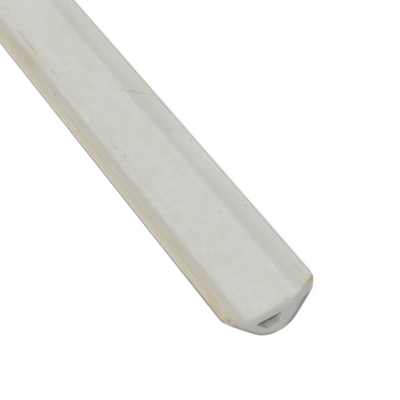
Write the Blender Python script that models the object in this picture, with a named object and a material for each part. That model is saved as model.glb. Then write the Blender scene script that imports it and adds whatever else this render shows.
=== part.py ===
"""A length of L-shaped skirting trim, extruded as one piece in rigid white plastic.

Two legs stand at a right angle and meet in a wide rounded back. A flat web
crosses the inside of the L, a little higher at the right leg than at the left,
and closes off a chamber that runs from end to end. Past the web each leg goes
on as a thinner lip with a rounded tip.

The trim lies on its rounded back with its open side up, rolled a little onto
its right leg, as it comes to rest. X runs across it, Y along it and Z up. The
origin is halfway along, on the floor, midway between the tips. All sizes are in
metres. The section is drawn with its legs even and then rolled.
"""
import math

import bpy
from mathutils import Matrix, Vector

# Length of stock
LENGTH = 1.000

# Legs. The width of a leg runs from the line where the two flat backs would
# meet, if the corner were sharp, to the tip of the leg.
LEG_WIDTH = 0.0350
LEG_ANGLE = math.radians(90.0)
BACK_RADIUS = 0.0150
LIP_THICKNESS = 0.0045
TIP_BACK_RADIUS = 0.0020
TIP_FACE_RADIUS = 0.0012

# Web. Its height is that of its face over the lowest line of the back, at the
# middle of the section. From there its face rises towards the right leg.
WEB_HEIGHT = 0.0136
WEB_RISE = math.radians(4.5)
WEB_THICKNESS = 0.0042
CREASE_RADIUS = 0.0035

# Chamber under the web, wider at its top than at its floor. Both are parallel
# to the web. Each shift is how far the middle of the top or the floor lies from
# the middle of the section.
CHAMBER_HEIGHT = 0.0052
CHAMBER_TOP_WIDTH = 0.0136
CHAMBER_TOP_SHIFT = -0.0020
CHAMBER_FLOOR_WIDTH = 0.0056
CHAMBER_FLOOR_SHIFT = -0.0008
CHAMBER_RADIUS = 0.0005

# Turn from one facet of a rounded stretch to the next
ARC_STEP = math.radians(6.0)

# Roll onto the right leg, at which the centre of mass lies over the line that
# the back rests on. It is a whole number of facets, so one of them lies level.
REST_ROLL = math.radians(6.0)

# Dirty white plastic
PLASTIC_COLOUR = (0.56, 0.56, 0.52, 1.0)
PLASTIC_ROUGHNESS = 0.55

COLLECTION_NAME = "skirting_trim"
PROFILE_NAME = "skirting_profile"


def clear_scene():
    """Remove every object of the scene."""
    for old in list(bpy.data.objects):
        bpy.data.objects.remove(old, do_unlink=True)


def part_collection():
    """Make the collection that holds the trim."""
    collection = bpy.data.collections.new(COLLECTION_NAME)
    bpy.context.scene.collection.children.link(collection)
    return collection


def plastic_material():
    """Matt dirty white plastic."""
    material = bpy.data.materials.new("dirty_white_plastic")
    material.use_nodes = True
    shader = material.node_tree.nodes["Principled BSDF"]
    shader.inputs["Base Color"].default_value = PLASTIC_COLOUR
    shader.inputs["Roughness"].default_value = PLASTIC_ROUGHNESS
    shader.inputs["Metallic"].default_value = 0.0
    return material


def corner_arc(before, corner, after, radius):
    """Points of the arc that rounds one corner, from one side to the next."""
    to_before = (before - corner).normalized()
    to_after = (after - corner).normalized()
    half_angle = to_before.angle(to_after) / 2.0
    centre = corner + (to_before + to_after).normalized() * radius / math.sin(half_angle)
    first = corner + to_before * radius / math.tan(half_angle)
    start = first - centre
    sweep = math.pi - 2.0 * half_angle
    turn = math.copysign(1.0, to_before.x * to_after.y - to_before.y * to_after.x)
    steps = max(2, math.ceil(sweep / ARC_STEP - 1e-6))
    points = []
    for step in range(steps + 1):
        angle = -turn * sweep * step / steps
        across = start.x * math.cos(angle) - start.y * math.sin(angle)
        up = start.x * math.sin(angle) + start.y * math.cos(angle)
        points.append(centre + Vector((across, up)))
    return points


def rounded_outline(corners):
    """Closed outline through (corner, radius) pairs, with each corner rounded."""
    points = []
    count = len(corners)
    for index, (corner, radius) in enumerate(corners):
        before = corners[index - 1][0]
        after = corners[(index + 1) % count][0]
        points.extend(corner_arc(before, corner, after, radius))
    return points


def mirrored(point):
    """The same point on the other leg."""
    return Vector((-point.x, point.y))


def back_corner():
    """Where the two flat backs would meet, below the lowest line of the back."""
    half_angle = LEG_ANGLE / 2.0
    depth = BACK_RADIUS / math.sin(half_angle) - BACK_RADIUS
    return Vector((0.0, -depth))


def leg_directions():
    """Direction up the right leg, and the way from its back to its face."""
    half_angle = LEG_ANGLE / 2.0
    along = Vector((math.sin(half_angle), math.cos(half_angle)))
    inward = Vector((-along.y, along.x))
    return along, inward


def under_web(across, depth):
    """Point that lies a given way across the section and a depth under the web's face."""
    return Vector((across, WEB_HEIGHT + across * math.tan(WEB_RISE) - depth))


def crease_point(tip_face, side):
    """Where the face of a lip meets the web, on the right (1) or the left (-1)."""
    reach = tip_face.x - (tip_face.y - WEB_HEIGHT) * math.tan(LEG_ANGLE / 2.0)
    widening = 1.0 - side * math.tan(WEB_RISE) * math.tan(LEG_ANGLE / 2.0)
    return under_web(side * reach / widening, 0.0)


def trim_outline():
    """Outer outline of the section: the back, both tips, both lips and the web."""
    along, inward = leg_directions()
    corner = back_corner()
    tip_back = corner + along * LEG_WIDTH
    tip_face = tip_back + inward * LIP_THICKNESS
    return rounded_outline([
        (corner, BACK_RADIUS),
        (tip_back, TIP_BACK_RADIUS),
        (tip_face, TIP_FACE_RADIUS),
        (crease_point(tip_face, 1), CREASE_RADIUS),
        (crease_point(tip_face, -1), CREASE_RADIUS),
        (mirrored(tip_face), TIP_FACE_RADIUS),
        (mirrored(tip_back), TIP_BACK_RADIUS),
    ])


def chamber_outline():
    """Outline of the chamber: a flat top under the web and a narrower floor."""
    floor_depth = WEB_THICKNESS + CHAMBER_HEIGHT
    floor_half = CHAMBER_FLOOR_WIDTH / 2.0
    top_half = CHAMBER_TOP_WIDTH / 2.0
    return rounded_outline([
        (under_web(CHAMBER_FLOOR_SHIFT - floor_half, floor_depth), CHAMBER_RADIUS),
        (under_web(CHAMBER_FLOOR_SHIFT + floor_half, floor_depth), CHAMBER_RADIUS),
        (under_web(CHAMBER_TOP_SHIFT + top_half, WEB_THICKNESS), CHAMBER_RADIUS),
        (under_web(CHAMBER_TOP_SHIFT - top_half, WEB_THICKNESS), CHAMBER_RADIUS),
    ])


def rolled(points):
    """The points as they lie at rest, turned about the middle of the back's arc."""
    pivot = Vector((0.0, BACK_RADIUS))
    turn = Matrix.Rotation(-REST_ROLL, 2)
    return [turn @ (point - pivot) + pivot for point in points]


def section_outlines():
    """Outlines of the trim and its chamber at rest, centred between the tips."""
    trim = rolled(trim_outline())
    chamber = rolled(chamber_outline())
    across = [point.x for point in trim]
    middle = Vector(((min(across) + max(across)) / 2.0, 0.0))
    return [[point - middle for point in outline] for outline in (trim, chamber)]


def add_outline(curve, points):
    """Add one closed outline of straight runs to a curve."""
    spline = curve.splines.new("POLY")
    spline.points.add(len(points) - 1)
    for target, point in zip(spline.points, points):
        target.co = (point.x, point.y, 0.0, 1.0)
    spline.use_cyclic_u = True


def extruded_profile(collection, material):
    """Draw the section flat, extrude it by the length and lay it along Y."""
    curve = bpy.data.curves.new(PROFILE_NAME, "CURVE")
    curve.dimensions = "2D"
    curve.fill_mode = "BOTH"
    for outline in section_outlines():
        add_outline(curve, outline)
    curve.extrude = LENGTH / 2.0
    curve.materials.append(material)
    profile = bpy.data.objects.new(PROFILE_NAME, curve)
    profile.rotation_euler = (math.radians(90.0), 0.0, 0.0)
    collection.objects.link(profile)
    return profile


def main():
    """Build the trim."""
    clear_scene()
    collection = part_collection()
    extruded_profile(collection, plastic_material())


main()
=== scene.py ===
"""A dressed length of L-shaped skirting trim in aged white plastic, as it lies at rest.

The trim is one shell with a hollow chamber along it. Its section is drawn with the
legs even, in metres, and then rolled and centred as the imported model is. On top of
the plain section come the worn arrises of the sawn ends, a broken corner of the
right tip, a nick in the web's edge, a slight waviness along the length, and stains,
specks, scuffs and two hairline cracks.
"""

import math
from functools import reduce

import bpy
from mathutils import Matrix, Quaternion, Vector, noise
from mathutils.geometry import delaunay_2d_cdt


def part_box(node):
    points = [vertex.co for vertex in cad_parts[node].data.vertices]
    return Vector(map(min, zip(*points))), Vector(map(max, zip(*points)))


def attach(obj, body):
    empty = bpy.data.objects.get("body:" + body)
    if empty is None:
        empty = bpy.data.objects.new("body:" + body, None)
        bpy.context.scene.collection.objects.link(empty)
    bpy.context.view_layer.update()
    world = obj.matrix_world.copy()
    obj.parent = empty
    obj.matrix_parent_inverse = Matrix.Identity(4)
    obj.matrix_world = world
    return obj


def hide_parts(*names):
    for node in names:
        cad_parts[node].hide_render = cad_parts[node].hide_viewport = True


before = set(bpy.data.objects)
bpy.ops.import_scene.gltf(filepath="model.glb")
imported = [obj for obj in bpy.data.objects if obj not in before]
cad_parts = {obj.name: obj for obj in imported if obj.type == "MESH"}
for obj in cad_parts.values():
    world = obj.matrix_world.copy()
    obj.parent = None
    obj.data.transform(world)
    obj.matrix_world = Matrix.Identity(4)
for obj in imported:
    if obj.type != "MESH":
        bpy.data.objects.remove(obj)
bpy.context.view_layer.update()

BODY = "root"
NODE = "skirting_profile"
PIECE = "skirting_trim_shell"

MM = 0.001


def mm(*values):
    """Millimetres as metres."""
    return tuple(value * MM for value in values)


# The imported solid's box, in which the shell stays
BOX_LOW, BOX_HIGH = (Vector(corner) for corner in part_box(NODE))
NEAR_END = BOX_LOW.y
LENGTH = BOX_HIGH.y - BOX_LOW.y

# Section of the trim, as the solid has it
LEG_WIDTH = 35.0 * MM
HALF_ANGLE = math.radians(45.0)
BACK_RADIUS = 15.0 * MM
LIP_THICKNESS = 4.5 * MM
TIP_BACK_RADIUS = 2.0 * MM
TIP_FACE_RADIUS = 1.2 * MM
WEB_HEIGHT = 13.6 * MM
WEB_RISE = math.radians(4.5)
WEB_THICKNESS = 4.2 * MM
CREASE_RADIUS = 3.5 * MM
CHAMBER_HEIGHT = 5.2 * MM
CHAMBER_TOP = mm(-8.8, 4.8)
CHAMBER_FLOOR = mm(-3.6, 2.0)
CHAMBER_RADIUS = 0.5 * MM
REST_ROLL = math.radians(6.0)

# Fineness of the outline
ARC_STEP = math.radians(2.0)
SMALL_ARC_STEP = math.radians(15.0)
SMALL_ARC_RADIUS = 4.0 * MM
BACK_SPACING = 1.2 * MM
TIP_SPACING = 0.5 * MM
LIP_SPACING = 0.7 * MM
WEB_SPACING = 0.5 * MM
CHAMBER_SPACING = 1.2 * MM

# Points on a sawn end: spacing, the grid's width in leg widths, and shift and least gap to an outline in
# spacings
END_SPACING = 0.8 * MM
END_WIDTH = 1.5
END_SHIFT = 0.3
END_CLEAR = 0.5
SAME_PLACE = 1e-9

# Materials of the mesh, by their numbers
OUTSIDE, SAWN_END, INSIDE = 0, 1, 2

# Height between the layers of noise that two seeds read
SEED_GAP = 17.3

# Camera, from the photograph's perspective
CAMERA_PLACE = Vector((-0.18156, -1.28763, 0.72308))
CAMERA_TARGET = Vector((0.00644, -0.40886, 0.014))
CAMERA_ROLL = math.radians(-21.02)
CAMERA_LENS = 218.7
CAMERA_SENSOR = 36.0
CAMERA_SIGHT = 50.0

# Light and floor
AMBIENT = 0.62
KEY_STRENGTH = 1.55
KEY_ELEVATION = math.radians(46.0)
KEY_AZIMUTH = math.radians(-20.0)
KEY_ANGLE = math.radians(8.0)
KEY_DISTANCE = 2.0
FLOOR_SIZE = 16.0
PLAIN_FLOOR = (0.8, 0.8, 0.8, 1.0)
SHADOW_FLOOR = (0.12, 0.12, 0.12, 1.0)
FLOOR_GLOW = 0.90


def smooth(low, high, value):
    """Rise from 0 at low to 1 at high, level at both."""
    part = min(1.0, max(0.0, (value - low) / (high - low)))
    return part * part * (3.0 - 2.0 * part)


def bump(value, middle, reach):
    """Rise to 1 at the middle and fall to 0 a reach away on both sides."""
    return 1.0 - smooth(0.0, reach, abs(value - middle))


def bumps(value, table):
    """Bumps added up, from (height, middle, reach)."""
    return sum(height * bump(value, middle, reach) for height, middle, reach in table)


def plateau(value, low, full, full_end, end):
    """Rise from low to full, stay at 1 up to full_end, and fall to 0 at end."""
    return smooth(low, full, value) * (1.0 - smooth(full_end, end, value))


def grain(x, y, z, seed=0.0):
    """Smooth noise between about -1 and 1, from a layer of its own for each seed."""
    return noise.noise(Vector((x, y, z + seed * SEED_GAP)))


def corner_arc(before, corner, after, radius):
    """Points of the arc that rounds one corner."""
    to_before = (before - corner).normalized()
    to_after = (after - corner).normalized()
    half = to_before.angle(to_after) / 2.0
    centre = corner + (to_before + to_after).normalized() * radius / math.sin(half)
    start = corner + to_before * radius / math.tan(half) - centre
    sweep = math.pi - 2.0 * half
    turn = math.copysign(1.0, to_before.x * to_after.y - to_before.y * to_after.x)
    step = SMALL_ARC_STEP if radius < SMALL_ARC_RADIUS else ARC_STEP
    steps = max(2, math.ceil(sweep / step))
    points = []
    for index in range(steps + 1):
        angle = -turn * sweep * index / steps
        points.append(centre + Vector((start.x * math.cos(angle) - start.y * math.sin(angle),
                                       start.x * math.sin(angle) + start.y * math.cos(angle))))
    return points


def fine_outline(corners):
    """Closed outline through (corner, radius, spacing of the run after it)."""
    count = len(corners)
    arcs = [corner_arc(corners[i - 1][0], corners[i][0], corners[(i + 1) % count][0], corners[i][1])
            for i in range(count)]
    points = []
    for index, arc in enumerate(arcs):
        points.extend(arc)
        start, end = arc[-1], arcs[(index + 1) % count][0]
        pieces = max(1, math.ceil((end - start).length / corners[index][2]))
        points.extend(start.lerp(end, part / pieces) for part in range(1, pieces))
    return points


def face_height(across):
    """Height of the web's face."""
    return WEB_HEIGHT + across * math.tan(WEB_RISE)


def under_web(across, depth):
    """Point at a depth under the web's face."""
    return Vector((across, face_height(across) - depth))


ALONG_LEG = Vector((math.sin(HALF_ANGLE), math.cos(HALF_ANGLE)))
INWARD = Vector((-ALONG_LEG.y, ALONG_LEG.x))
BACK_CORNER = Vector((0.0, BACK_RADIUS - BACK_RADIUS / math.sin(HALF_ANGLE)))
TIP_BACK = BACK_CORNER + ALONG_LEG * LEG_WIDTH
TIP_FACE = TIP_BACK + INWARD * LIP_THICKNESS


def crease(side):
    """Where a lip meets the web."""
    reach = TIP_FACE.x - (TIP_FACE.y - WEB_HEIGHT) * math.tan(HALF_ANGLE)
    return under_web(side * reach / (1.0 - side * math.tan(WEB_RISE) * math.tan(HALF_ANGLE)), 0.0)


def mirrored(point):
    """The same point on the left leg."""
    return Vector((-point.x, point.y))


def trim_section():
    """Fine outline of the trim, counterclockwise seen from the near end."""
    return fine_outline([
        (BACK_CORNER, BACK_RADIUS, BACK_SPACING),
        (TIP_BACK, TIP_BACK_RADIUS, TIP_SPACING),
        (TIP_FACE, TIP_FACE_RADIUS, LIP_SPACING),
        (crease(1), CREASE_RADIUS, WEB_SPACING),
        (crease(-1), CREASE_RADIUS, LIP_SPACING),
        (mirrored(TIP_FACE), TIP_FACE_RADIUS, TIP_SPACING),
        (mirrored(TIP_BACK), TIP_BACK_RADIUS, BACK_SPACING),
    ])


def chamber_section():
    """Fine outline of the chamber, in the same sense."""
    floor_depth = WEB_THICKNESS + CHAMBER_HEIGHT
    corners = [under_web(across, floor_depth) for across in CHAMBER_FLOOR]
    corners += [under_web(across, WEB_THICKNESS) for across in CHAMBER_TOP[::-1]]
    return fine_outline([(corner, CHAMBER_RADIUS, CHAMBER_SPACING) for corner in corners])


def outward_normals(points):
    """Unit normals of a counterclockwise outline, away from its inside."""
    normals = []
    for index, point in enumerate(points):
        run = points[(index + 1) % len(points)] - points[index - 1]
        normals.append(Vector((run.y, -run.x)).normalized())
    return normals


def ring_distances(stretches):
    """Distances from the near end, from (length of a stretch, step) pairs."""
    distances, start = [], 0.0
    for length, step in stretches:
        count = max(1, round(length / step))
        distances += [start + length * index / count for index in range(count)]
        start += length
    return distances + [start]


# Rings along the trim, finest at its ends: (length of a stretch, step between rings)
SHELL_END = [mm(0.4, 0.08), mm(0.6, 0.15), mm(3.0, 0.3), mm(12.0, 0.8)]
CHAMBER_END = [mm(1.0, 0.2), mm(19.0, 1.5)]
SHELL_END_LENGTH = sum(length for length, _ in SHELL_END)
CHAMBER_END_LENGTH = sum(length for length, _ in CHAMBER_END)
SEEN_LENGTH = 310.0 * MM
SEEN_STEP = 2.0 * MM
HIDDEN_STEP = 8.0 * MM
CHAMBER_STEP = 20.0 * MM
SHELL_RINGS = ring_distances([
    *SHELL_END,
    (SEEN_LENGTH - SHELL_END_LENGTH, SEEN_STEP),
    (LENGTH - SEEN_LENGTH - SHELL_END_LENGTH, HIDDEN_STEP),
    *SHELL_END[::-1],
])
CHAMBER_RINGS = ring_distances([
    *CHAMBER_END,
    (LENGTH - 2.0 * CHAMBER_END_LENGTH, CHAMBER_STEP),
    *CHAMBER_END[::-1],
])

# Seeds of the noises that make the wear uneven, and how many of their units there are in a metre
ARRIS_SEED, SAWN_SEED, WAVE_SEED, NICK_SEED, BREAK_SEED = 1.0, 3.0, 4.0, 5.0, 7.0
ARRIS_GRAIN = 420.0
SAWN_GRAIN = 300.0
WAVE_GRAIN = (40.0, 25.0)
NICK_GRAIN = 900.0
BREAK_GRAIN = (500.0, 300.0)

# Sawn face of the near end: how it lies back at the worn left lip, and how its edge leans back. A span is
# where something begins, is full, is still full and is gone; bumps are (height, middle, reach).
LEFT_WORN_FROM = 26.4 * MM
LEFT_WORN_RADIUS = 3.8 * MM
LEFT_WORN_MOST = 0.98
LEFT_WORN_SHARE = 0.3
LEAN_DEPTH = 1.8 * MM
LEAN_REACH = 3.0 * MM
LEAN_SPAN = mm(8.0, 15.0, 16.5, 21.0)
EDGE_LEAN = 0.58 * MM
EDGE_REACH = 1.8 * MM
EDGE_SPAN = mm(-19.0, -16.0, 8.5, 11.0)
WEB_BUMPS = [(0.8, *mm(-11.5, 4.0)), (0.8, *mm(4.8, 5.0))]
LIP_BUMPS = [(1.0, *mm(17.2, 3.6)), (1.4, *mm(19.9, 2.0))]
SAWN_UNEVEN = 0.05 * MM
FADE_LENGTH = 16.0 * MM

# Worn arrises of the sawn ends: radius, how much more or less of it in places, and the slopes and
# distances to the left where that begins and is full
ARRIS = 0.28 * MM
ARRIS_UNEVEN = 0.6
UPPER_MORE = 0.6
LEFT_LIP_MORE = 1.9
LEFT_TIP_MORE = 3.4
LOWER_LESS = 0.6
UPPER_SLOPE = (0.2, 0.6)
LOWER_SLOPE = (-0.2, -0.5)
LEFT_LIP_SPAN = mm(10.0, 14.0)
LEFT_TIP_SPAN = mm(22.6, 23.9)
LOWER_SPAN = mm(0.0, 4.0)

# Broken corner of the right tip: its planes (a point, a slope), and how they run out along the lip
BREAK_PLANES = [
    (Vector((19.25, 13.35)) * MM, math.radians(54.0)),
    (Vector((21.25, 16.8)) * MM, math.radians(76.0)),
]
BREAK_LENGTH = 13.0 * MM
BREAK_REACH = 1.3
BREAK_RISE = 3.0 * MM
BREAK_CURVE = 0.9
BREAK_UNEVEN = 0.12 * MM

# Nick in the web's edge; its sides are a span in half widths
NICK_MIDDLE = 8.6 * MM
NICK_HALF_WIDTH = 2.0 * MM
NICK_LENGTH = 3.0 * MM
NICK_DEPTH = 0.42 * MM
NICK_NARROWS = 0.55
NICK_SIDES = (-1.0, -0.6, 0.1, 1.0)
NICK_UNEVEN = 0.25

# Waviness along the length, and the wear along the left tip
WAVE = 0.06 * MM
TIP_WORN = 0.08 * MM
TIP_WORN_SPAN = mm(21.0, 23.5)
TIP_WORN_MORE = 0.3
TIP_WORN_END = 30.0 * MM
MOST_WEAR = 0.4 * MM

# Slope of the surface at which the upper side's look begins and is full
UPPER_SIDE = (-0.1, 0.3)


def end_recess(point):
    """How far the near end's sawn face lies back at a point of the section."""
    along_left = (mirrored(point) - BACK_CORNER).dot(ALONG_LEG)
    over = min(max(0.0, along_left - LEFT_WORN_FROM), LEFT_WORN_RADIUS * LEFT_WORN_MOST)
    rounded = LEFT_WORN_RADIUS - math.sqrt(LEFT_WORN_RADIUS ** 2 - over ** 2)
    depth = max(0.0, max(face_height(point.x), point.x) - point.y)
    lean = LEAN_DEPTH * plateau(point.x, *LEAN_SPAN) * (1.0 - smooth(0.0, LEAN_REACH, depth))
    web = plateau(point.x, *EDGE_SPAN) * (1.0 + bumps(point.x, WEB_BUMPS))
    edge = EDGE_LEAN * (web + bumps(point.x, LIP_BUMPS))
    lean += edge * (1.0 - smooth(0.0, EDGE_REACH, depth))
    uneven = SAWN_UNEVEN * grain(point.x * SAWN_GRAIN, 0.0, point.y * SAWN_GRAIN, SAWN_SEED)
    return rounded * LEFT_WORN_SHARE + lean + abs(uneven)


def recess_at(point, distance):
    """How far a point at a distance from the near end is moved along for the sawn face."""
    return end_recess(point) * max(0.0, 1.0 - distance / FADE_LENGTH)


def arris_radius(point, normal):
    """Radius of the near end's worn arris: widest along the left lip's face, uneven all round."""
    uneven = grain(point.x * ARRIS_GRAIN, point.y * ARRIS_GRAIN, 0.0, ARRIS_SEED)
    upper = smooth(*UPPER_SLOPE, normal.y)
    left = smooth(*LEFT_LIP_SPAN, -point.x)
    tip = smooth(*LEFT_TIP_SPAN, -point.x)
    lower = smooth(*LOWER_SLOPE, normal.y) * smooth(*LOWER_SPAN, -point.x)
    more = upper * (UPPER_MORE + LEFT_LIP_MORE * left) + LEFT_TIP_MORE * tip - LOWER_LESS * lower
    return ARRIS * (1.0 + more) * (1.0 + ARRIS_UNEVEN * uneven)


def arris_inset(distance, radius):
    """How far a rounded arris lies inside the section at a distance from the end."""
    if distance >= radius:
        return 0.0
    return radius - math.sqrt(radius ** 2 - (radius - distance) ** 2)


def nick(point, distance):
    """Depth of the nick in the web's edge."""
    uneven = 1.0 + NICK_UNEVEN * grain(point.x * NICK_GRAIN, distance * NICK_GRAIN, 0.0, NICK_SEED)
    narrow = 1.0 - NICK_NARROWS * min(1.0, distance / NICK_LENGTH)
    part = (point.x - NICK_MIDDLE) / (NICK_HALF_WIDTH * uneven * narrow)
    along = max(0.0, 1.0 - (distance / (NICK_LENGTH * uneven)) ** 2)
    return NICK_DEPTH * plateau(part, *NICK_SIDES) * along


def broken_tip(point, distance):
    """Cut the right tip back along slanting breaks that run out along the lip."""
    if distance > BREAK_LENGTH * BREAK_REACH:
        return point, 0.0
    along_grain, up_grain = BREAK_GRAIN
    uneven = BREAK_UNEVEN * grain(distance * along_grain, point.y * up_grain, 0.0, BREAK_SEED)
    limit = BREAK_RISE * (distance / BREAK_LENGTH) ** BREAK_CURVE + uneven
    lost = 0.0
    for place, slope in BREAK_PLANES:
        outward = Vector((math.sin(slope), -math.cos(slope)))
        beyond = max(0.0, (point - place).dot(outward) - limit)
        point = point - outward * beyond
        lost += beyond
    return point, lost


def shell_point(point, normal, distance):
    """A point of the outside after wear: its place in the section and along it, and its facts."""
    upper = smooth(*UPPER_SIDE, normal.y)
    rounded = arris_inset(distance, arris_radius(point, normal)) + arris_inset(LENGTH - distance, ARRIS)
    side_grain, along_grain = WAVE_GRAIN
    swing = grain(point.x * side_grain, distance * along_grain, point.y * side_grain, WAVE_SEED)
    wave = WAVE * (0.5 + 0.5 * swing)
    more = TIP_WORN_MORE * (1.0 - smooth(0.0, TIP_WORN_END, distance))
    thin = TIP_WORN * smooth(*TIP_WORN_SPAN, -point.x) * (1.0 + more)
    gouge = nick(point, distance) * upper
    worn = point - normal * (rounded + wave + thin) - Vector((0.0, gouge))
    worn, lost = broken_tip(worn, distance)
    wear = max(rounded, min(lost, MOST_WEAR))
    return worn, distance + recess_at(point, distance), upper, (gouge / MM, 0.0, wear / MM)


def chamber_point(point, normal, distance):
    """A point of the chamber's wall after wear, as shell_point gives it."""
    rounded = arris_inset(distance, ARRIS) + arris_inset(LENGTH - distance, ARRIS)
    worn = point + normal * rounded
    return worn, distance + recess_at(point, distance), 0.0, (0.0, 0.0, rounded / MM)


ROLL = Matrix.Rotation(-REST_ROLL, 2)
PIVOT = Vector((0.0, BACK_RADIUS))
ROLLED_ACROSS = [(ROLL @ (point - PIVOT)).x for point in trim_section()]
MIDDLE = (min(ROLLED_ACROSS) + max(ROLLED_ACROSS)) / 2.0


def placed(point, along):
    """Section point and distance from the near end, put where the solid lies."""
    turned = ROLL @ (point - PIVOT) + PIVOT
    spot = Vector((turned.x - MIDDLE, NEAR_END + along, turned.y))
    return Vector(min(max(value, low), high) for value, low, high in zip(spot, BOX_LOW, BOX_HIGH))


class Shell:
    """Vertices, faces and surface facts of the trim's mesh."""

    def __init__(self):
        self.vertices = []
        self.facts = []
        self.faces = []
        self.kinds = []

    def vertex(self, point, along, plain, upper, rim):
        """Add a vertex and what its material needs to know of its place."""
        self.vertices.append(placed(point, along))
        self.facts.append(((plain.x / MM, along / MM, plain.y / MM), upper, rim))
        return len(self.vertices) - 1

    def face(self, corners, kind):
        """Add a face of one of the kinds: OUTSIDE, SAWN_END or INSIDE."""
        self.faces.append(corners)
        self.kinds.append(kind)

    def tube(self, rings, kind, inside):
        """Join rings of vertices into a tube that faces outwards, or inwards."""
        for ring, following in zip(rings[:-1], rings[1:]):
            for index in range(len(ring)):
                onward = (index + 1) % len(ring)
                corners = (ring[index], following[index], following[onward], ring[onward])
                self.face(corners[::-1] if inside else corners, kind)


def worn_rings(shell, outline, distances, worn_point):
    """Rings of vertices along an outline, and their worn sections."""
    normals = outward_normals(outline)
    rings, sections = [], []
    for distance in distances:
        ring, section = [], []
        for point, normal in zip(outline, normals):
            worn, along, upper, rim = worn_point(point, normal, distance)
            ring.append(shell.vertex(worn, along, point, upper, rim))
            section.append(worn)
        rings.append(ring)
        sections.append(section)
    return rings, sections


def within(point, loop):
    """True for a point inside a closed outline."""
    inside = False
    for index, end in enumerate(loop):
        start = loop[index - 1]
        if (start.y > point.y) != (end.y > point.y):
            crossing = start.x + (point.y - start.y) * (end.x - start.x) / (end.y - start.y)
            inside ^= point.x < crossing
    return inside


def gap_to(point, loop):
    """Least distance from a point to the points of an outline."""
    return min((point - other).length for other in loop)


def spread_points(outer_loop, inner_loop):
    """Uneven grid of points on a sawn end, clear of both outlines."""
    points, both = [], outer_loop + inner_loop
    columns = math.ceil(LEG_WIDTH * END_WIDTH / END_SPACING)
    for column in range(-columns // 2, columns // 2 + 1):
        for row in range(columns // 2):
            shift = Vector((grain(column, row, 0.5), grain(column, row, 1.5))) * END_SPACING * END_SHIFT
            point = Vector((column, row)) * END_SPACING + shift
            if (within(point, outer_loop) and not within(point, inner_loop)
                    and gap_to(point, both) > END_SPACING * END_CLEAR):
                points.append(point)
    return points


def loop_edges(first, count):
    """Edges that close a run of points into a loop."""
    return [(first + index, first + (index + 1) % count) for index in range(count)]


def end_face(shell, outer, inner, outer_loop, inner_loop, far):
    """Fill a sawn end between the trim's outline and the chamber's with a fine mesh."""
    known = outer + inner
    edges = loop_edges(0, len(outer)) + loop_edges(len(outer), len(inner))
    points = outer_loop + inner_loop + spread_points(outer_loop, inner_loop)
    result = delaunay_2d_cdt(points, edges, [], 0, SAME_PLACE)
    corners, triangles, origins = result[0], result[2], result[3]
    tops, backs = [], []
    for index, point in zip(outer, outer_loop):
        (tops if shell.facts[index][1] > 0.5 else backs).append(point)
    indices = []
    for corner, origin in zip(corners, origins):
        point = Vector(corner)
        if origin and origin[0] < len(known):
            along = shell.facts[known[origin[0]]][0][1] * MM
        else:
            along = LENGTH if far else end_recess(point)
        rim = (gap_to(point, backs) / MM, gap_to(point, tops) / MM, 0.0)
        indices.append(shell.vertex(point, along, point, 0.0, rim))
    for triangle in triangles:
        middle = sum((Vector(corners[index]) for index in triangle), Vector((0.0, 0.0))) / 3.0
        if within(middle, outer_loop) and not within(middle, inner_loop):
            ids = tuple(indices[index] for index in triangle)
            shell.face(ids[::-1] if far else ids, SAWN_END)


# What the materials read from the mesh: its name, its kind and where it is kept
FACTS = [("place", "FLOAT_VECTOR", "vector"), ("upper", "FLOAT", "value"), ("rim", "FLOAT_VECTOR", "vector")]


def trim_mesh():
    """The whole trim as one closed mesh."""
    shell = Shell()
    outer_rings, outer_loops = worn_rings(shell, trim_section(), SHELL_RINGS, shell_point)
    inner_rings, inner_loops = worn_rings(shell, chamber_section(), CHAMBER_RINGS, chamber_point)
    shell.tube(outer_rings, OUTSIDE, False)
    shell.tube(inner_rings, INSIDE, True)
    for end, far in ((0, False), (-1, True)):
        end_face(shell, outer_rings[end], inner_rings[end], outer_loops[end], inner_loops[end], far)
    mesh = bpy.data.meshes.new(PIECE)
    mesh.from_pydata(shell.vertices, [], shell.faces)
    mesh.polygons.foreach_set("material_index", shell.kinds)
    for part, (name, kind, slot) in enumerate(FACTS):
        values = [fact[part] for fact in shell.facts]
        if slot == "vector":
            values = [value for vector in values for value in vector]
        mesh.attributes.new(name, kind, "POINT").data.foreach_set(slot, values)
    mesh.polygons.foreach_set("use_smooth", [True] * len(shell.faces))
    mesh.update()
    return mesh


def linear(*colour):
    """A colour as a screen shows it, out of 255, in the renderer's own values."""
    def channel(value):
        part = value / 255.0
        return part / 12.92 if part <= 0.04045 else ((part + 0.055) / 1.055) ** 2.4
    return (*map(channel, colour), 1.0)


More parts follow.
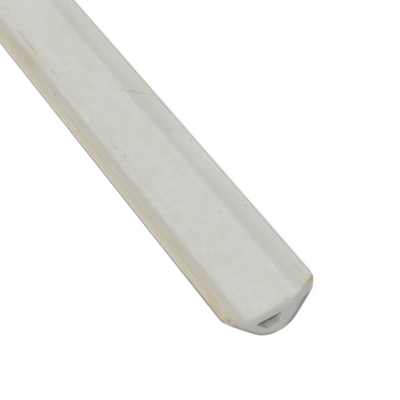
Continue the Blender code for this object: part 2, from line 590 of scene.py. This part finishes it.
class Nodes:
    """Short calls that build nodes in a tree."""

    def __init__(self, tree):
        self.tree = tree

    def put(self, socket, value):
        """Link a node's output to a socket, or set a plain value on it."""
        if isinstance(value, bpy.types.NodeSocket):
            self.tree.links.new(value, socket)
        elif socket.type == "VECTOR":
            socket.default_value = value[:3]
        else:
            socket.default_value = value

    def node(self, kind, inputs=(), **settings):
        """Add a shader node with settings, and fill its inputs by name or number."""
        node = self.tree.nodes.new("ShaderNode" + kind)
        for key, value in settings.items():
            setattr(node, key, value)
        for key, value in dict(inputs).items():
            self.put(node.inputs[key], value)
        return node

    def number(self, operation, first, second=0.0):
        """A number worked out from one or two others."""
        return self.node("Math", {0: first, 1: second}, operation=operation).outputs[0]

    def ranged(self, value, low=0.0, high=1.0, first=0.0, last=1.0, kind="LINEAR"):
        """A number between low and high, moved to between first and last."""
        inputs = {"Value": value, "From Min": low, "From Max": high, "To Min": first, "To Max": last}
        return self.node("MapRange", inputs, interpolation_type=kind).outputs[0]

    def sum(self, first, second):
        return self.number("ADD", first, second)

    def less(self, first, second):
        return self.number("SUBTRACT", first, second)

    def times(self, first, second):
        return self.number("MULTIPLY", first, second)

    def most(self, first, second):
        return self.number("MAXIMUM", first, second)

    def plus(self, base, value, share):
        """A number and a share of another one."""
        return self.sum(base, self.times(value, share))

    def level(self, low, high, mask):
        """Low outside a mask and high in it."""
        return self.plus(low, mask, high - low)


class Paint(Nodes):
    """Short calls that build a material of the trim."""

    def __init__(self, name):
        self.material = bpy.data.materials.new(name)
        self.material.use_nodes = True
        super().__init__(self.material.node_tree)
        self.shader = self.tree.nodes["Principled BSDF"]
        self.values = {}

    def fact(self, name, part):
        """An attribute of the mesh."""
        return self.node("Attribute", attribute_name=name).outputs[part]

    def parts(self, vector):
        """The three numbers of a vector."""
        return self.node("SeparateXYZ", {0: vector}).outputs

    def rise(self, value, low, high):
        """0 under low, 1 over high, smooth between; falls where low is the greater."""
        return self.ranged(value, low, high, kind="SMOOTHSTEP")

    def ramp(self, value, span):
        """1 within a span: where it begins and is full, and for four numbers is still full and is gone."""
        mask = self.rise(value, *span[:2])
        return mask if len(span) == 2 else self.times(mask, self.rise(value, span[3], span[2]))

    def mask(self, **spans):
        """1 where each named value is in its span."""
        return reduce(self.times, [self.ramp(self.values[name], span) for name, span in spans.items()])

    def vector(self, operation, first, second):
        """A vector worked out from two others."""
        return self.node("VectorMath", {0: first, 1: second}, operation=operation).outputs[0]

    def stretched(self, vector, scale):
        """A vector multiplied part by part."""
        return self.vector("MULTIPLY", vector, scale)

    def away(self, place, centre, scale):
        """Distance from a centre, with each direction scaled."""
        scaled = self.stretched(self.vector("SUBTRACT", place, centre), scale)
        return self.node("VectorMath", {0: scaled}, operation="LENGTH").outputs["Value"]

    def noise(self, vector, scale, detail, rough, output=0):
        """Soft noise about 0.5."""
        inputs = {"Vector": vector, "Scale": scale, "Detail": detail, "Roughness": rough}
        return self.node("TexNoise", inputs).outputs[output]

    def noises(self, vector, kinds):
        """Noises by name, from (stretch of the vector, scale, detail, roughness)."""
        return {name: self.noise(self.stretched(vector, stretch), *settings)
                for name, (stretch, *settings) in kinds.items()}

    def mix(self, factor, under, over):
        """One colour over another."""
        node = self.node("Mix", {"Factor": factor}, data_type="RGBA")
        self.put(node.inputs[6], under)
        self.put(node.inputs[7], over)
        return node.outputs[2]

    def tint(self, under, over, mask, share):
        """A share of one colour over another, in a mask."""
        return self.mix(self.times(mask, share), under, over)

    def shade(self, colour, factor):
        """A colour made lighter or darker."""
        node = self.node("VectorMath", {0: colour}, operation="SCALE")
        self.put(node.inputs["Scale"], factor)
        return node.outputs[0]

    def spots(self, place, marks):
        """Soft spots, from (along, across, half length, half width, strength) in millimetres."""
        total = 0.0
        for along, across, half_length, half_width, strength in marks:
            reach = self.away(place, (across, along, 0.0), (1.0 / half_width, 1.0 / half_length, 0.0))
            spot = self.ranged(reach, SPOT_EDGE, SPOT_CORE, 0.0, strength, "SMOOTHSTEP")
            total = self.most(total, spot)
        return total

    def path(self, along, across, points, half_width):
        """A line drawn by (along, across) points in millimetres, soft at its sides and ends."""
        first, last = points[0][0], points[-1][0]
        low = min(point[1] for point in points)
        high = max(point[1] for point in points)
        curve = self.node("FloatCurve", {"Value": self.ranged(along, first, last)})
        line = curve.mapping.curves[0]
        for index, (spot, height) in enumerate(points):
            where = ((spot - first) / (last - first), (height - low) / (high - low))
            if index in (0, len(points) - 1):
                line.points[0 if index == 0 else len(line.points) - 1].location = where
            else:
                line.points.new(*where)
        curve.mapping.update()
        centre = self.ranged(curve.outputs[0], first=low, last=high)
        off = self.number("ABSOLUTE", self.less(across, centre))
        ends = self.ramp(along, (first, first + LINE_END, last - LINE_END, last))
        return self.times(self.rise(off, half_width, half_width * LINE_CORE), ends)

    def finish(self, colour, roughness, height):
        """Join colour, roughness and bump to the shader."""
        self.put(self.shader.inputs["Base Color"], colour)
        self.put(self.shader.inputs["Roughness"], roughness)
        relief = self.node("Bump", {"Height": height, "Strength": 1.0, "Distance": BUMP_DEPTH})
        self.put(self.shader.inputs["Normal"], relief.outputs[0])
        return self.material


# Where a spot begins and is full, in its half sizes, and a line's soft ends and core
SPOT_EDGE, SPOT_CORE = 1.25, 0.25
LINE_END = 4.0
LINE_CORE = 0.2
BUMP_DEPTH = 0.10 * MM

# Colours, as the photograph shows them under its light
PLASTIC = linear(203, 204, 199)
WARM_PLASTIC = linear(202, 202, 194)
# Olive tint of the left lip, made lighter than the plastic: real yellowing with painted light on a lip that
# faces away from the key
LIP_OLIVE_AND_LIGHT = linear(212, 209, 196)
# Grey of the painted shade along the right lip's crease
CREASE_SHADE_GREY = linear(190, 190, 186)
TIP_BEIGE = linear(203, 196, 176)
TIP_ORANGE = linear(198, 182, 152)
# Painted shade along the left tip's back edge, where it turns away from the light
TIP_SHADE_LINE = linear(126, 125, 128)
# Painted highlight along the left tip's rounded rim
TIP_HIGHLIGHT = linear(210, 209, 199)
TIP_BROWN = linear(166, 152, 120)
BROWN = linear(156, 138, 86)
YELLOW = linear(198, 193, 162)
GREY_DIRT = linear(142, 142, 132)
TIP_DIRT = linear(150, 147, 124)
ARRIS_YELLOW = linear(182, 180, 164)
EDGE_YELLOW = linear(196, 194, 176)
# Brownish tint with painted shade inside the nick
NICK_SHADE_BROWN = linear(172, 169, 152)
SAWN = linear(170, 172, 167)
SAWN_LILAC = linear(170, 172, 170)
# Painted shadow along the sawn end's lower right back edge
SAWN_BACK_SHADOW = linear(98, 97, 96)
# Brown painted shadow along the sawn end's lower left back edge
SAWN_BROWN_SHADOW = linear(132, 114, 100)
TIP_STAIN = linear(182, 166, 142)
TIP_RIM = linear(190, 175, 152)
TIP_MARK = linear(128, 108, 84)
CHAMBER = linear(188, 189, 180)

# Marks on the upper side: (along, across, half length, half width, strength), in millimetres
BROWN_MARKS = [
    (66, 20.3, 1.4, 0.8, 0.55), (78.5, 19.9, 1.6, 1, 0.1), (129.5, 20.8, 1.3, 0.7, 0.25),
    (129.5, 8.7, 0.8, 0.6, 1.2), (118, -0.2, 0.7, 0.5, 0.3), (89.5, -6.8, 1.8, 0.5, 0.35),
    (136, -8, 1.3, 0.5, 0.5), (149, -8, 2.4, 0.6, 0.45), (178.5, -9.4, 1.4, 0.5, 0.5),
    (181.7, -8.7, 1.1, 0.5, 0.65), (194.5, -8.8, 1.2, 0.5, 0.5), (214, -8.8, 3.2, 0.5, 0.4),
    (234, -9, 2, 0.5, 0.35), (242, -9, 3, 0.6, 0.5), (263, -9.6, 2.2, 0.5, 0.4),
    (271, -9.6, 4.5, 0.6, 0.55), (286, -9.6, 5, 0.6, 0.35), (214.5, -17.7, 3.6, 0.6, 0.7),
    (230, -17.8, 2.2, 0.5, 0.5), (237.5, -17.8, 2.4, 0.5, 0.35), (252, -17.6, 6.5, 0.7, 0.55),
    (149.5, 5.5, 1.5, 0.3, 0.35), (150, 4.2, 4, 0.3, 0.22), (142, 21.3, 2, 0.4, 0.35),
    (237, -5.5, 1.4, 1.2, 0.2), (266, -1.5, 1.2, 1.6, 0.2), (40.5, -4, 0.8, 0.3, 0.25),
    (89.5, 3.3, 0.6, 0.5, 0.25), (213, -8.9, 3, 0.4, 0.4), (7.3, -8.1, 1, 0.5, 0.08),
]
TIP_MARKS = [
    (0.2, 21.8, 1.5, 1.9, 1), (0.2, 19.6, 1.2, 1.9, 0.6), (0.6, 17.6, 1.4, 1.6, 0.35),
    (10, 19.6, 9, 1.1, 0.16),
]
GREY_MARKS = [
    (53.5, -6.5, 2.6, 0.7, 0.3), (48.5, -7, 3, 0.4, 0.2), (67, -6.4, 7, 0.5, 0.25),
    (75, -6, 1.8, 0.6, 0.3), (94.5, -4.7, 2, 0.5, 0.25), (104.5, -7.5, 3.5, 0.5, 0.28),
    (131, -9.5, 3, 0.25, 0.3), (126, -4.9, 7, 0.25, 0.25), (158, -9, 0.9, 0.8, 0.45),
    (145, -9.8, 1, 0.3, 0.3), (162, -8.6, 1.2, 0.3, 0.25), (188, -9.8, 1.5, 0.3, 0.35),
    (190.5, -9, 0.7, 0.5, 0.3), (206.5, -8.5, 0.7, 0.5, 0.25), (219, -10.8, 0.8, 0.3, 0.3),
    (72, 8, 0.9, 0.5, 0.35), (55, 3.5, 0.9, 0.4, 0.22), (107.5, 0.5, 0.5, 1.1, 0.25),
    (89, 6.8, 1.2, 0.6, 0.2), (115, 8, 0.8, 2, 0.15), (138, 8.8, 0.5, 1, 0.3), (77, 10.5, 2.5, 1, 0.15),
    (148.5, 9.6, 0.8, 0.35, 0.4), (167, 12.2, 1, 0.25, 0.45), (158.5, 8.6, 1.2, 0.5, 0.25),
    (201.5, 13.9, 0.9, 0.5, 0.5), (163.7, 7.6, 0.8, 0.3, 0.25), (178, -17.4, 2.4, 0.4, 0.4),
    (189, -17.6, 1.6, 0.35, 0.25), (195, -17.5, 2, 0.35, 0.25), (115, 19.4, 0.9, 0.3, 0.4),
    (246, -17.6, 3, 0.5, 0.35), (278, -17.6, 4.5, 0.6, 0.35), (228, 6.5, 2.5, 2.5, 0.12),
    (257, 1, 7, 5, 0.1), (62, 4.5, 4.5, 1.8, 0.1), (68, 9.8, 6, 0.2, 0.15), (144.5, -17.5, 2.4, 1, 0.2),
    (180, 14, 18, 1.6, 0.16), (268, 15, 20, 6, 0.08), (265.5, -3, 1.2, 3, 0.25), (231, 8.5, 3, 4, 0.1),
    (283, -4.5, 7, 1.2, 0.15), (280, 17.5, 12, 4, 0.14), (250, -9.2, 34, 3.6, 0.09),
    (1.5, 18, 2.4, 3.4, 0.15), (4.5, 10.6, 2.2, 1.8, 0.1),
]
YELLOW_MARKS = [
    (44, -0.8, 2.6, 2, 0.6), (41, -3, 5, 2.5, 0.22), (42, -10.2, 5, 1, 0.3), (4, -9, 6, 3, 0.45),
    (61, 5, 4.5, 2, 0.22), (87, -8, 7, 2.6, 0.32), (58, -10, 11, 2, 0.25), (105, -7.4, 4, 1, 0.35),
    (120, -7.6, 9, 2.6, 0.28), (140, 10, 6, 3.4, 0.3), (152, 7.5, 5.5, 3, 0.3), (157, 4, 5, 4, 0.3),
    (164, -2, 5, 3, 0.3), (172, -6.8, 8, 2.2, 0.28), (212, -8.6, 4, 1.4, 0.3), (228, -5, 14, 6, 0.28),
    (246, -1.5, 8, 2.5, 0.25), (222, 2, 11, 5, 0.2), (240, 9, 16, 4, 0.25), (272, 4, 14, 7, 0.3),
    (186, 18.2, 14, 2.4, 0.4), (202, 15.5, 5, 2, 0.3), (245, 16.5, 14, 2, 0.3), (85, 19.2, 6, 0.8, 0.35),
    (48, 18.4, 6, 0.9, 0.3), (37, 17.8, 6, 0.8, 0.25), (7, 19.8, 6, 0.5, 0.55), (16, 18.8, 6, 0.4, 0.5),
    (2, 17.4, 2.2, 1.6, 0.9), (2, 20.2, 2.4, 1.5, 0.6), (2.6, -18.7, 3.2, 2.4, 0.7), (147, 19, 5, 2, 0.25),
    (1.2, 4.2, 2.6, 3.8, 0.7), (1.8, 9.2, 2.8, 3.2, 0.8), (1, -15.4, 2.4, 3.6, 0.35),
    (78.5, 19.9, 1.8, 1.3, 0.8), (129.5, 20.7, 1.8, 1.2, 0.8), (180, 18.6, 6, 1.6, 0.3),
    (268, 11, 18, 6, 0.3), (266, -16.5, 22, 3.4, 0.75), (262, -11, 20, 3.4, 0.65), (248, 21, 30, 1.5, 0.4),
    (30, 19.6, 30, 1.6, 0.3),
]

# Hairline cracks and the brown line along the web: (along, across) in millimetres
CRACK_NEAR = [
    (143.3, 20.9), (145.1, 19.8), (149.8, 16.9), (154.5, 14.2), (157.5, 9.9), (160.9, 5.8), (165.8, 0.2),
    (172.2, -4.9), (178.7, -8.8),
]
CRACK_FAR = [
    (173.4, 22.1), (180, 20), (186.4, 17.9), (191.6, 16.5), (197.6, 14.2), (201.5, 11.3), (206.2, 8.8),
    (210.6, 6.1), (214.5, 3.2), (218.5, 0.3), (224.1, -4.3), (229, -8.2),
]
BROWN_LINE = [(261, -9.3), (271.5, -9.4), (278, -9.8), (286, -9.5), (296, -9.4)]

# Noises on the upper side: stretch of the place, scale for a millimetre, detail and roughness
EVEN = (1.0, 1.0, 1.0)
AGED_NOISES = {
    "clouds": ((1.0, 0.45, 1.0), 0.12, 4.0, 0.6),
    "mottle": (EVEN, 0.8, 4.0, 0.65),
    "fine": (EVEN, 2.4, 2.0, 0.6),
    "streaks": ((1.0, 0.05, 1.0), 1.3, 3.0, 0.6),
    "smudges": ((1.0, 0.7, 1.0), 0.32, 3.0, 0.65),
    "patches": ((1.0, 0.6, 1.0), 0.14, 2.0, 0.6),
    "specks": (EVEN, 0.8, 2.0, 0.5),
    "crumbs": (EVEN, 1.5, 2.0, 0.5),
    "loose": ((1.0, 0.42, 1.0), 1.8, 2.0, 0.5),
    "grain": (EVEN, 3.0, 3.0, 0.6),
}

# How far marks wander from their drawn places, in millimetres, and the scale of that noise
DRIFT_REACH = (1.6, 3.0, 0.0)
DRIFT_SCALE = 0.9

# Light of the plain plastic, and the share of each noise in it
BASE_LIGHT = 0.755
LIGHT_SHARES = {"mottle": 0.28, "smudges": 0.145, "patches": 0.08, "streaks": 0.03}

# Points by the tips from which distances are taken in the section, in millimetres
LEFT_TIP = (-23.8, 0.0, 17.8)
RIGHT_TIP = (23.8, 0.0, 19.3)
IN_SECTION = (1.0, 0.0, 1.0)

# Stretches along the trim where its cleaner near end and the left tip's look at that end give way
CLEANER_END = (10.0, 90.0)
NEAR_TIP = (60.0, 30.0)

# Swell of the left tip's band, and how far noises move its edge and the near edge's, in millimetres
BAND_SWELL = 1.3
BAND_WANDERS = {"clouds": 7.0, "streaks": 5.0}
EDGE_WANDER = 2.0


class AgedPlastic(Paint):
    """Dirty white plastic with stains, specks, scuffs and cracks on its upper side, and painted light and
    shade on its lips and its left tip.

    A mask's spans are in millimetres for across, along, the distances from the tips, wear and
    gouge, and in the noise's own values for a noise. Other numbers are shares.
    """

    def __init__(self):
        super().__init__("aged_white_plastic")
        spot = self.fact("place", "Vector")
        drift = self.noise(spot, DRIFT_SCALE, 2.0, 0.55, output=1)
        drift = self.stretched(self.vector("SUBTRACT", drift, (0.5, 0.5, 0.5)), DRIFT_REACH)
        self.place = self.vector("ADD", spot, drift)
        self.across, self.along, _ = self.parts(self.place)
        gouge, _, wear = self.parts(self.fact("rim", "Vector"))
        self.upper = self.fact("upper", "Fac")
        self.values = self.noises(spot, AGED_NOISES)
        self.mottle = self.values["mottle"]
        self.values.update(across=self.across, along=self.along, gouge=gouge, wear=wear,
                           left_tip=self.away(self.place, LEFT_TIP, IN_SECTION),
                           right_tip=self.away(self.place, RIGHT_TIP, IN_SECTION))

    def plain(self):
        """The plastic itself, lighter and darker in patches."""
        colour = self.mix(self.mask(clouds=(0.35, 0.72)), PLASTIC, WARM_PLASTIC)
        grit = self.level(0.13, 0.24, self.mask(along=CLEANER_END))
        light = self.plus(BASE_LIGHT, self.less(self.values["fine"], 0.5), grit)
        for name, share in LIGHT_SHARES.items():
            light = self.plus(light, self.values[name], share)
        return self.shade(colour, light)

    def lips(self, colour):
        """The left lip's tint with painted light, the right lip's painted shade along its crease, and its
        pale outer edge.
        """
        # The left lip's olive tint, lighter than the plastic: painted light where the lip lies in shade
        left = self.times(self.mask(across=(-11.6, -14.0)), self.upper)
        colour = self.tint(colour, LIP_OLIVE_AND_LIGHT, left, 0.9)
        # Painted shade along the right lip's crease, weaker in some stretches
        weaker_crease_shade = self.times(self.mask(along=(205.0, 215.0)), 0.6)
        weaker_crease_shade = self.most(self.mask(along=(90.0, 112.0, 142.0, 154.0)), weaker_crease_shade)
        weaker_crease_shade = self.times(weaker_crease_shade, self.mask(across=(15.6, 17.6)))
        crease = self.level(0.25, 0.7, self.mask(across=(19.6, 16.6)))
        crease = self.times(self.mask(across=(13.0, 15.2)), crease)
        crease = self.times(crease, self.level(1.0, 0.4, weaker_crease_shade))
        colour = self.tint(colour, CREASE_SHADE_GREY, crease, self.upper)
        edge = self.mask(across=(19.5, 21.5), along=(55.0, 75.0, 142.0, 155.0))
        return self.shade(colour, self.level(1.0, 1.035, edge))

    def left_tip(self, colour):
        """The left tip's band of beige and orange, its painted light and shade, and its painted highlight
        along the rim.
        """
        near = self.mask(along=NEAR_TIP)
        swell = self.most(self.mask(along=(18.0, 36.0, 70.0, 95.0)), self.mask(along=(215.0, 250.0)))
        edge = self.plus(self.across, swell, -BAND_SWELL)
        for name, wander in BAND_WANDERS.items():
            edge = self.plus(edge, self.less(self.values[name], 0.5), wander)
        band = self.times(self.ramp(edge, (-17.6, -20.7)), self.upper)
        band = self.times(band, self.most(self.mask(left_tip=(1.5, 2.6)), near))
        strong = self.most(self.mask(along=(5.0, 14.0)), self.mask(along=(3.0, 1.0)))
        strong = self.most(self.mask(across=(-20.8, -21.8)), strong)
        band = self.times(band, self.level(0.35, 1.0, strong))
        colour = self.tint(colour, TIP_BEIGE, band, 0.85)
        orange = self.sum(self.mask(streaks=(0.42, 0.7)), self.mask(along=(30.0, 2.0)))
        colour = self.tint(colour, TIP_ORANGE, band, self.times(orange, 0.5))
        # Painted light on the lip's face inside the band and painted shade on the tip's rounded edge
        level = self.level(1.0, 1.095, self.mask(across=(-16.8, -19.0, -20.4, -21.6)))
        level = self.plus(level, self.mask(across=(-20.6, -21.4), left_tip=(1.4, 2.4)), -0.085)
        # Painted highlight along the left tip's rounded rim, away from the near end
        pale = self.times(self.mask(left_tip=(2.8, 2.1)), self.less(1.0, near))
        return self.tint(self.shade(colour, level), TIP_HIGHLIGHT, pale, 0.55)

    def tip_shade_line(self):
        """Where the painted shade line along the left tip's back edge is, wider at the near end."""
        strength = self.level(0.85, 1.0, self.mask(along=(215.0, 150.0)))
        line = self.times(self.mask(left_tip=(1.8, 1.42)), strength)
        near = self.times(self.mask(left_tip=(2.25, 1.35), along=NEAR_TIP), 0.76)
        return self.times(self.most(line, near), self.level(0.5, 1.0, self.mask(along=(0.8, 5.0))))

    def right_tip(self, colour):
        """Dirt along the right tip, browner towards the far end."""
        far = self.mask(along=(140.0, 175.0))
        rim = self.times(self.mask(right_tip=(2.3, 0.9)), self.level(0.22, 0.37, far))
        return self.mix(rim, colour, self.mix(far, GREY_DIRT, TIP_DIRT))

    def yellowed(self, colour):
        """Yellow stains and the yellowed near edge, and where the stains are."""
        patches = self.mask(mottle=(0.52, 0.66), across=(14.0, -6.0), clouds=(0.45, 0.62))
        marks = self.times(self.spots(self.place, YELLOW_MARKS), 0.6)
        yellow = self.times(self.most(marks, self.times(patches, 0.12)), self.upper)
        colour = self.tint(colour, YELLOW, yellow, self.plus(0.55, self.mottle, 0.8))
        edge = self.ramp(self.plus(self.along, self.mottle, EDGE_WANDER), (4.2, 1.2))
        return self.tint(colour, EDGE_YELLOW, self.times(edge, self.upper), 0.6), yellow

    def drawn(self, points, half_width, low, high, mask):
        """A line through points, with a strength that goes from low to high in a mask."""
        line = self.path(self.along, self.across, points, half_width)
        return self.times(line, self.level(low, high, mask))

    def dirty(self, colour):
        """Cracks, grey specks and brown crumbs, and where the grey and the brown are."""
        near = self.drawn(CRACK_NEAR, 0.5, 0.12, 0.22, self.mask(along=(158.0, 153.0)))
        far = self.drawn(CRACK_FAR, 0.7, 0.09, 0.29, self.mask(along=(184.0, 189.0, 198.0, 203.0)))
        strength = self.level(0.08, 0.3, self.mask(along=CLEANER_END))
        specks = self.times(self.mask(specks=(0.6, 0.74)), strength)
        grey = self.times(self.spots(self.place, GREY_MARKS), 0.6)
        grey = self.times(reduce(self.most, (grey, near, far, specks)), self.upper)
        colour = self.mix(grey, colour, GREY_DIRT)
        loose = self.mask(across=(-11.4, -10.2, -7.6, -4.6), along=(70.0, 110.0), clouds=(0.4, 0.56),
                          loose=(0.55, 0.71))
        brown = self.sum(self.mask(crumbs=(0.42, 0.58)), 0.25)
        brown = self.times(self.spots(self.place, BROWN_MARKS), brown)
        brown = self.most(brown, self.drawn(BROWN_LINE, 0.9, 0.1, 0.7, self.mottle))
        brown = self.times(self.most(brown, self.times(loose, 0.7)), self.times(self.upper, 0.75))
        return self.mix(brown, colour, BROWN), grey, brown

    def worn(self, colour):
        """Worn arrises, the painted shade line along the left tip, the nick with its painted shade, the
        right tip's stain and scuffs.
        """
        worn = self.times(self.mask(wear=(0.0, 0.16)), self.plus(0.75, self.mottle, 0.3))
        rim = self.mix(self.mask(across=(-17.5, -20.0)), ARRIS_YELLOW, TIP_RIM)
        # Painted shade line along the left tip's back edge
        colour = self.tint(self.mix(worn, colour, rim), TIP_SHADE_LINE, self.tip_shade_line(), 0.9)
        # Brownish tint with painted shade inside the nick
        colour = self.tint(colour, NICK_SHADE_BROWN, self.mask(gouge=(0.03, 0.3)), 0.6)
        stain = self.times(self.spots(self.place, TIP_MARKS), self.plus(0.75, self.mottle, 0.5))
        colour = self.tint(colour, TIP_BROWN, stain, self.upper)
        scuffs = self.times(self.less(1.0, self.upper), self.mask(streaks=(0.45, 0.75)))
        return self.tint(colour, GREY_DIRT, scuffs, 0.35)

    def made(self):
        """The finished material."""
        colour = self.right_tip(self.left_tip(self.lips(self.plain())))
        colour, yellow = self.yellowed(colour)
        colour, grey, brown = self.dirty(colour)
        rough = self.sum(self.mottle, self.most(brown, yellow))
        height = self.plus(self.times(self.values["grain"], 0.25), self.values["streaks"], 0.5)
        height = self.plus(height, self.most(grey, brown), -0.6)
        return self.finish(self.worn(colour), self.plus(0.42, rough, 0.2), height)


# The sawn ends' noises, and what darkens, lightens and tints them: an amount, and masks of which the
# most counts. Ragged is across with a wandering edge, and under, over and spot are the distances from the
# backs, from the upper side and from the dark spot, in millimetres.
SAWN_NOISES = {
    "lines": ((0.35, 0.0, 1.6), 1.6, 3.0, 0.7),
    "mottle": (EVEN, 0.7, 4.0, 0.6),
    "grain": (EVEN, 4.0, 2.0, 0.55),
}
# Painted shade over the right part of the sawn face, and painted light at its rounded right back edge
SAWN_PAINTED_LIGHT = [
    (-0.115, {"across": (10.5, 13.5)}),
    (0.1, {"across": (17.0, 19.5), "under": (2.4, 0.6)}),
]
SAWN_TINTS = [
    (TIP_STAIN, 0.95, [{"ragged": (-19.4, -20.6)}]),
    # Painted shadow along the lower right back edge
    (SAWN_BACK_SHADOW, 0.8, [{"across": (2.0, 9.0), "under": (2.5, 0.0), "up": (14.5, 12.0)}]),
    # Brown painted shadow along the lower left back edge
    (SAWN_BROWN_SHADOW, 0.75, [{"across": (-20.5, -18.5, -3.0, 2.0), "under": (1.8, 0.0)}]),
    (ARRIS_YELLOW, 0.5, [{"over": (0.8, 0.0), "mottle": (0.35, 0.55)},
                         {"across": (-13.0, -15.0), "over": (1.8, 0.4)}]),
    (TIP_BROWN, 0.95, [{"across": (18.4, 20.2), "over": (1.3, 0.5)}]),
    (TIP_MARK, 0.5, [{"spot": (1.3, 0.3)}]),
    # Painted shade along the sawn end's edge at the left tip's back
    (TIP_SHADE_LINE, 0.15, [{"across": (-20.0, -21.5), "under": (0.8, 0.2)}]),
]
DARK_SPOT = (-20.05, 0.0, 16.8)
DARK_SPOT_SCALE = (1.6, 0.0, 0.7)


def sawn_plastic():
    """The grey sawn end, with saw lines, stained rims, painted shadow along its back edges and painted light
    and shade across it.
    """
    paint = Paint("sawn_plastic_end")
    place = paint.fact("place", "Vector")
    across, _, up = paint.parts(place)
    under, over, _ = paint.parts(paint.fact("rim", "Vector"))
    paint.values = paint.noises(place, SAWN_NOISES)
    lines, mottle, fine = paint.values.values()
    paint.values.update(across=across, up=up, under=under, over=over,
                        ragged=paint.plus(across, paint.less(mottle, 0.5), 3.0),
                        spot=paint.away(place, DARK_SPOT, DARK_SPOT_SCALE))
    light = paint.plus(paint.plus(0.9, lines, 0.08), mottle, 0.12)
    # Painted light and shade across the sawn face
    for amount, spans in SAWN_PAINTED_LIGHT:
        light = paint.plus(light, paint.mask(**spans), amount)
    lilac = paint.mask(across=(-2.0, 6.0), up=(11.0, 6.0))
    colour = paint.shade(paint.mix(lilac, SAWN, SAWN_LILAC), light)
    for over_colour, share, masks in SAWN_TINTS:
        mask = reduce(paint.most, [paint.mask(**spans) for spans in masks])
        colour = paint.tint(colour, over_colour, mask, share)
    height = paint.plus(paint.times(lines, 0.7), fine, 0.4)
    return paint.finish(colour, paint.plus(0.6, mottle, 0.2), height)


CHAMBER_NOISES = {
    "mottle": (EVEN, 0.6, 4.0, 0.65),
    "streaks": ((1.0, 0.06, 1.0), 1.4, 3.0, 0.6),
}


def chamber_plastic():
    """The chamber's wall, streaked with dust, with painted light on its right wall at the mouth."""
    paint = Paint("chamber_plastic")
    place = paint.fact("place", "Vector")
    across, along, _ = paint.parts(place)
    paint.values = paint.noises(place, CHAMBER_NOISES)
    mottle, streaks = paint.values.values()
    paint.values.update(across=across, along=along, wear=paint.parts(paint.fact("rim", "Vector"))[2])
    # Painted light on the chamber's right wall near the mouth
    mouth_light = paint.mask(across=(1.6, 3.4), along=(14.0, 2.0))
    colour = paint.shade(CHAMBER, paint.plus(0.93, paint.sum(mottle, mouth_light), 0.14))
    colour = paint.tint(colour, GREY_DIRT, paint.mask(streaks=(0.45, 0.7)), 0.12)
    colour = paint.mix(paint.mask(wear=(0.0, 0.1)), colour, SAWN)
    height = paint.plus(paint.times(streaks, 0.6), mottle, 0.3)
    return paint.finish(colour, paint.plus(0.6, mottle, 0.2), height)


def sees_backdrop(nodes):
    """1 for rays that show the backdrop: from the camera, mirrored or let through."""
    rays = nodes.node("LightPath").outputs
    seen = nodes.most(rays["Is Camera Ray"], rays["Is Glossy Ray"])
    return nodes.most(seen, rays["Is Transmission Ray"])


def floor_material():
    """A white floor that keeps a faint shadow for the camera and is plain for other light."""
    material = bpy.data.materials.new("pale_floor")
    material.use_nodes = True
    nodes = Nodes(material.node_tree)
    nodes.tree.nodes.clear()
    plain = nodes.node("BsdfDiffuse", {"Color": PLAIN_FLOOR}).outputs[0]
    shown = nodes.node("BsdfDiffuse", {"Color": SHADOW_FLOOR}).outputs[0]
    glow = nodes.node("Emission", {"Strength": FLOOR_GLOW}).outputs[0]
    both = nodes.node("AddShader", {0: shown, 1: glow}).outputs[0]
    choice = nodes.node("MixShader", {0: sees_backdrop(nodes), 1: plain, 2: both})
    nodes.node("OutputMaterial", {"Surface": choice.outputs[0]})
    return material


def add_floor():
    """Pale floor under the trim."""
    half = FLOOR_SIZE / 2.0
    mesh = bpy.data.meshes.new("floor")
    corners = [(x, y, BOX_LOW.z) for x, y in ((-half, -half), (half, -half), (half, half), (-half, half))]
    mesh.from_pydata(corners, [], [(0, 1, 2, 3)])
    mesh.materials.append(floor_material())
    floor = bpy.data.objects.new("floor", mesh)
    bpy.context.scene.collection.objects.link(floor)


def add_world():
    """Soft even light from all round, and white where the camera looks past the floor."""
    world = bpy.data.worlds.new("soft_world")
    world.use_nodes = True
    nodes = Nodes(world.node_tree)
    background = nodes.tree.nodes["Background"].inputs
    nodes.put(background["Strength"], nodes.ranged(sees_backdrop(nodes), first=AMBIENT))
    nodes.put(background["Color"], (1.0, 1.0, 1.0, 1.0))
    bpy.context.scene.world = world


def add_key():
    """Soft key light from behind the camera, a little from the left."""
    light = bpy.data.lights.new("soft_key", "SUN")
    light.energy = KEY_STRENGTH
    light.angle = KEY_ANGLE
    lamp = bpy.data.objects.new("soft_key", light)
    towards = Vector((math.sin(KEY_AZIMUTH) * math.cos(KEY_ELEVATION),
                      -math.cos(KEY_AZIMUTH) * math.cos(KEY_ELEVATION), math.sin(KEY_ELEVATION)))
    lamp.rotation_euler = towards.to_track_quat("Z", "Y").to_euler()
    lamp.location = towards * KEY_DISTANCE
    bpy.context.scene.collection.objects.link(lamp)


def add_camera():
    """Camera at the photograph's place."""
    data = bpy.data.cameras.new("camera")
    data.sensor_width = CAMERA_SENSOR
    data.lens = CAMERA_LENS
    data.clip_end = CAMERA_SIGHT
    camera = bpy.data.objects.new("camera", data)
    aim = (CAMERA_TARGET - CAMERA_PLACE).to_track_quat("-Z", "Y")
    camera.rotation_mode = "QUATERNION"
    camera.rotation_quaternion = aim @ Quaternion((0.0, 0.0, 1.0), CAMERA_ROLL)
    camera.location = CAMERA_PLACE
    bpy.context.scene.collection.objects.link(camera)
    bpy.context.scene.camera = camera


def add_trim():
    """The dressed trim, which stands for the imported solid."""
    mesh = trim_mesh()
    for material in (AgedPlastic().made(), sawn_plastic(), chamber_plastic()):
        mesh.materials.append(material)
    trim = bpy.data.objects.new(PIECE, mesh)
    bpy.context.scene.collection.objects.link(trim)
    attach(trim, BODY)
    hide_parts(NODE)


bpy.context.scene.view_settings.view_transform = "Standard"
add_trim()
add_floor()
add_world()
add_key()
add_camera()
